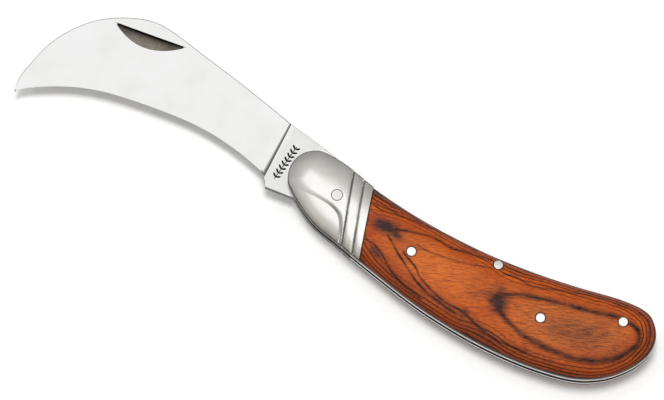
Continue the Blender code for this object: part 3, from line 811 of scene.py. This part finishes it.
blade = {
    "spine": [(-94.1, -2.3), (-94.2, 2.2), (-92.7, 7.2), (-90.1, 13.5), (-86.1, 19.3), (-80.4, 24.5),
              (-73.8, 27.9), (-66.4, 29.75), (-60.0, 29.2), (-50.0, 26.1), (-36.5, 21.8),
              (-23.0, 17.1), (-20.0, 15.95)],
    "edge": [(-94.1, -2.3), (-92.9, -0.9), (-88.0, 1.7), (-80.0, 4.7), (-72.0, 6.4), (-64.0, 7.0),
             (-55.0, 7.1), (-46.0, 6.75), (-38.0, 5.6), (-30.0, 3.5), (-22.5, 0.7)],
    "stations": 150, "tipStart": 0.004, "tipThickness": 0.4, "fullAtWidth": 21.0, "relief": 0.04,
    "bevelWidth": 0.55, "bevelThickness": 0.34, "edgeThickness": 0.06, "spineRounding": (0.2, 0.12),
    # from the plunge line the wedge swells to the tang's thickness, less a little so that it stays inside
    "rampTop": (-19.2, 15.7), "rampHeel": (-20.9, -1.2), "rampSteps": 8, "rampPower": 2.6,
    "sunk": 0.02, "heelRounding": 0.25, "rampEnds": [(0.8, -0.35), (0.8, 0.25)],
    "tangStart": (-20.0, 15.95), "tangBack": [(-14.0, 14.2), (-8.2, 12.4), (-2.2, 10.3)],
    "tangBehind": 0.3, "choil": (-20.5, -1.9), "kick": (-19.8, -3.4),
    # a face is a wall or part of a bevel when the z of its normal stays below these
    "wallBelow": 0.5, "bevelBelow": 0.93, "sharpAngle": 8,
}


def wedgeSection(bm, back, front, spineThick, edgeThick, bevelThick):
    # a ring through spine, flats and the narrow cutting bevels
    width = (back - front).length
    across = (back - front).normalized()
    # the bevel and the spine's rounding shrink where the blade is narrow
    inward, flatward = blade["spineRounding"]
    bevelPlace = front + across * min(blade["bevelWidth"], width * 0.4)
    softened = back - across * min(inward, width * 0.1)
    half = spineThick / 2
    corners = [(softened, half), (back, half - flatward), (back, -half + flatward), (softened, -half),
               (bevelPlace, -bevelThick / 2), (front, -edgeThick / 2), (front, edgeThick / 2),
               (bevelPlace, bevelThick / 2)]
    verts = [bm.verts.new((p.x, p.y, z)) for p, z in corners]
    return [bm.edges.new((verts[k], verts[(k + 1) % len(verts)])) for k in range(len(verts))]


def bladeWedge():
    spine, edge = smoothPath(blade["spine"], 10), smoothPath(blade["edge"], 10)
    full = tang["thickness"] - blade["relief"]
    bm = bmesh.new()
    rings = []
    grown = 0.0  # how much of the full thickness the blade has reached; it never shrinks
    for i in range(blade["stations"] + 1):
        share = blade["tipStart"] + (1 - blade["tipStart"]) * i / blade["stations"]
        back, front = pointAlong(spine, share), pointAlong(edge, share)
        grown = max(grown, math.sin(math.pi / 2 * min(1.0, (back - front).length / blade["fullAtWidth"])))
        thick = blade["tipThickness"] + (full - blade["tipThickness"]) * grown
        bevelThick = min(blade["bevelThickness"], thick * 0.6)
        rings.append(wedgeSection(bm, back, front, thick, blade["edgeThickness"], bevelThick))
    rampTop, rampHeel = Vector(blade["rampTop"]), Vector(blade["rampHeel"])
    flat = tang["thickness"] - blade["sunk"]
    plunge = (full, blade["edgeThickness"], blade["bevelThickness"])
    shoulder = (flat, flat - blade["heelRounding"], flat)
    for i in range(1, blade["rampSteps"] + 1):
        share = i / blade["rampSteps"]
        grown = share ** blade["rampPower"]
        swollen = [thin + (thick - thin) * grown for thin, thick in zip(plunge, shoulder)]
        back, front = spine[-1].lerp(rampTop, share), edge[-1].lerp(rampHeel, share)
        rings.append(wedgeSection(bm, back, front, *swollen))
    pastTop, pastHeel = [Vector(step) for step in blade["rampEnds"]]
    rings.append(wedgeSection(bm, rampTop + pastTop, rampHeel + pastHeel, *shoulder))
    for ring, following in zip(rings, rings[1:]):
        bmesh.ops.bridge_loops(bm, edges=ring + following)
    for ring in (rings[0], rings[-1]):
        bmesh.ops.contextual_create(bm, geom=ring)
    bmesh.ops.recalc_face_normals(bm, faces=bm.faces)
    splitWideFaces(bm)
    return meshObject(bm, "wedge")


def folded(point):
    # where a place on the handle lies on the tang once the blade is folded
    return Vector(point) @ Matrix.Rotation(math.radians(tang["foldAngle"]), 2)


def tangPlate():
    corner = math.sqrt(tang["camRadius"] ** 2 - tang["flatHeight"] ** 2)
    openFlat = [onFlat(along, tang["flatHeight"]) for along in (tang["shoulder"], corner)]
    closedFlat = [folded(onFlat(along, tang["flatHeight"])) for along in (-corner, tang["footEnd"])]
    start = math.degrees(math.atan2(openFlat[1].y, openFlat[1].x))
    end = math.degrees(math.atan2(closedFlat[0].y, closedFlat[0].x))
    tangFrom = blade["rampTop"][0] + blade["tangBehind"]
    foot = [p for p in smoothPath([blade["tangStart"]] + blade["tangBack"], 8) if p.x > tangFrom]
    path = [Vector(blade["rampTop"])] + foot + openFlat[:1]
    path += arcPath((0, 0), tang["camRadius"], start, end, tang["camSteps"]) + closedFlat[1:]
    path += [Vector(blade["kick"]), Vector(blade["choil"]), Vector(blade["rampHeel"])]
    bm = bmesh.new()
    half = tang["thickness"] / 2
    plateFrom(bm, path, -half, half)
    seam = [Vector(blade["rampTop"]), Vector(blade["rampHeel"])]
    rimEdges = [e for e in bm.edges if heightBetween(e) < sameHeight
                and not all(min((v.co.xy - s).length for s in seam) < hair for v in e.verts)]
    roundEdges(bm, rimEdges, tang["rimRounding"])
    splitWideFaces(bm)
    return meshObject(bm, "hook_blade")


def nickDisc(bladePiece):
    # the disc of a grinding wheel, sunk in the tapering face
    above = [bladePiece.ray_cast((nick["x"], nick["top"] - off, nick["from"]), (0, 0, -1))[1].z
             for off in (nick["inward"], nick["width"])]
    radius = ((nick["length"] / 2) ** 2 + nick["depth"] ** 2) / (2 * nick["depth"])
    bm = bmesh.new()
    bmesh.ops.create_cone(bm, cap_ends=True, segments=nick["sides"], depth=nick["width"], radius2=radius,
                          radius1=radius - nick["depth"] + above[0] - above[1])
    bmesh.ops.rotate(bm, verts=bm.verts, matrix=Matrix.Rotation(math.radians(-90), 3, "X"))
    middle = (nick["x"], nick["top"] - nick["width"] / 2, above[0] + radius - nick["depth"])
    bmesh.ops.translate(bm, verts=bm.verts, vec=middle)
    splitWideFaces(bm)
    return meshObject(bm, "nick")


def inNick(corner):
    low, high = nick["top"] - nick["width"] - nick["margin"], nick["top"] + hair
    return abs(corner.x - nick["x"]) < nick["length"] / 2 + nick["margin"] and low < corner.y < high


bladePiece = tangPlate()
cutWith(bladePiece, [bladeWedge()], "UNION")
bpy.context.view_layer.update()
cutWith(bladePiece, [nickDisc(bladePiece)])
cutWith(bladePiece, [drill((0, 0), pivotHole)])
indices = []
for face in bladePiece.data.polygons:
    flatness = abs(face.normal.z)
    corners = [bladePiece.data.vertices[i].co for i in face.vertices]
    if face.center.z > nick["frontFrom"] and all(inNick(corner) for corner in corners):
        # the nick's walls take the slot's painted shade
        indices.append(4 if flatness < blade["wallBelow"] else 1)
    elif flatness < blade["wallBelow"]:
        # walls, the spine among them, take the rims' painted dark shade
        indices.append(2)
    elif flatness < blade["bevelBelow"]:
        indices.append(3)
    else:
        indices.append(5 if face.center.x > blade["rampTop"][0] + blade["tangBehind"] else 0)
bladeLooks = [bladeSteel, nickSteel, rimShadeSteel, edgeSteel, slotShadeSteel, tangSteel]
finishPiece(bladePiece, bladeLooks, ["blade"], "blade", blade["sharpAngle"], indices)
print("blade ready")

studio = {
    "azimuth": 20.5, "elevation": 76.0, "lens": 220.0, "distance": 1.1102,
    "aim": (-0.0013766, -0.0002008, 0.0), "sky": 1.16, "floorRadius": 3.0, "floorDrop": 0.0001,
}
# matt white board with a faint grain; a little light of its own keeps it white
floorMaterial, tree, shader = newMaterial("white_studio_board")
place = addNode(tree, "TexCoord").outputs["Object"]
paper = addNode(tree, "TexNoise", {"Vector": place, "Scale": 900.0, "Detail": 2.0})
tone = addNode(tree, "ValToRGB", {"Fac": paper.outputs["Fac"]}, [
    (0.3, "#E6E6E6"), (0.7, "#E9E9E9")])
tree.links.new(tone.outputs[0], shader.inputs["Base Color"])
shader.inputs["Roughness"].default_value = 0.9
shader.inputs["Specular IOR Level"].default_value = 0.1
shader.inputs["Emission Color"].default_value = linear("#FFFFFF")
shader.inputs["Emission Strength"].default_value = 0.06
bm = bmesh.new()
bmesh.ops.create_circle(bm, cap_ends=True, segments=96, radius=studio["floorRadius"])
floor = meshObject(bm, "studio_floor")
floor.data.transform(Matrix.Translation((0, 0, -studio["floorDrop"])))
floor.data.materials.append(floorMaterial)

world = bpy.data.worlds.new("studio_sky")
bpy.context.scene.world = world
world.use_nodes = True
tree = world.node_tree
sky = addNode(tree, "TexCoord").outputs["Generated"]
height = addNode(tree, "SeparateXYZ", {"Vector": sky}).outputs["Z"]
# the room pales upward to a white panel overhead, and its near side is darker and warmer
nearTone = addNode(tree, "ValToRGB", {"Fac": height}, [
    (0.0, "#5E5B57"), (0.35, "#7A766F"), (0.56, "#8A857D"), (0.68, "#BEBCB8"), (0.84, "#C8C7C4"),
    (0.9, "#D4D4D1"), (0.95, "#FCFCFC"), (1.0, "#FFFFFF")])
farTone = addNode(tree, "ValToRGB", {"Fac": height}, [
    (0.0, "#7E7E7C"), (0.25, "#969694"), (0.6, "#B4B4B2"), (0.8, "#CACAC8"), (0.9, "#E2E2E0"),
    (0.95, "#FFFFFF"), (1.0, "#FFFFFF")])
upImage = (-math.sin(math.radians(studio["azimuth"])), math.cos(math.radians(studio["azimuth"])), 0.0)
side = addNode(tree, "VectorMath", {0: sky, 1: upImage}, operation="DOT_PRODUCT")
share = addNode(tree, "MapRange", {"Value": side.outputs["Value"], "From Min": -0.42, "From Max": -0.12})
tone = addNode(tree, "Mix", {0: share, 6: nearTone, 7: farTone}, data_type="RGBA")
# a white flag on the left gives the bolster's nose its highlight
toLeft = (-math.cos(math.radians(studio["azimuth"])), -math.sin(math.radians(studio["azimuth"])), 0.0)
left = addNode(tree, "VectorMath", {0: sky, 1: toLeft}, operation="DOT_PRODUCT").outputs["Value"]
leftward = addNode(tree, "MapRange", {"Value": left, "From Min": 0.05, "From Max": 0.25})
high = addNode(tree, "MapRange", {"Value": height, "From Min": 0.8, "From Max": 0.88})
flag = addNode(tree, "Math", {0: leftward, 1: high}, operation="MULTIPLY")
lit = addNode(tree, "Mix", {0: flag, 6: tone.outputs[2], 7: linear("#FFFFFF")}, data_type="RGBA")
background = tree.nodes["Background"]
tree.links.new(lit.outputs[2], background.inputs["Color"])
background.inputs["Strength"].default_value = studio["sky"]


def directionTo(azimuth, elevation):
    turn, rise = math.radians(azimuth), math.radians(elevation)
    return Vector((math.sin(turn) * math.cos(rise), -math.cos(turn) * math.cos(rise), math.sin(rise)))


def softbox(name, azimuth, elevation, distance, width, height, power):
    back = directionTo(azimuth, elevation)
    data = bpy.data.lights.new(name, "AREA")
    data.shape = "RECTANGLE"
    data.size, data.size_y, data.energy = width, height, power
    lamp = bpy.data.objects.new(name, data)
    bpy.context.scene.collection.objects.link(lamp)
    lamp.location = back * distance
    lamp.rotation_euler = back.to_track_quat("Z", "Y").to_euler()
    lamp.visible_glossy = False  # the steel mirrors the sky alone


softbox("softbox_above", 197.0, 85.0, 1.6, 0.34, 0.34, 16.0)
softbox("softbox_left", 245.0, 58.0, 1.6, 0.7, 0.5, 1.4)

back = directionTo(studio["azimuth"], studio["elevation"])
camera = bpy.data.objects.new("camera", bpy.data.cameras.new("camera"))
camera.data.lens = studio["lens"]
camera.data.sensor_width = 36.0
camera.data.clip_start, camera.data.clip_end = 0.01, 50.0
camera.location = pivot + Vector(studio["aim"]) + back * studio["distance"]
camera.rotation_euler = back.to_track_quat("Z", "Y").to_euler()
bpy.context.scene.collection.objects.link(camera)
bpy.context.scene.camera = camera
bpy.context.scene.view_settings.view_transform = "Standard"
print("studio ready")
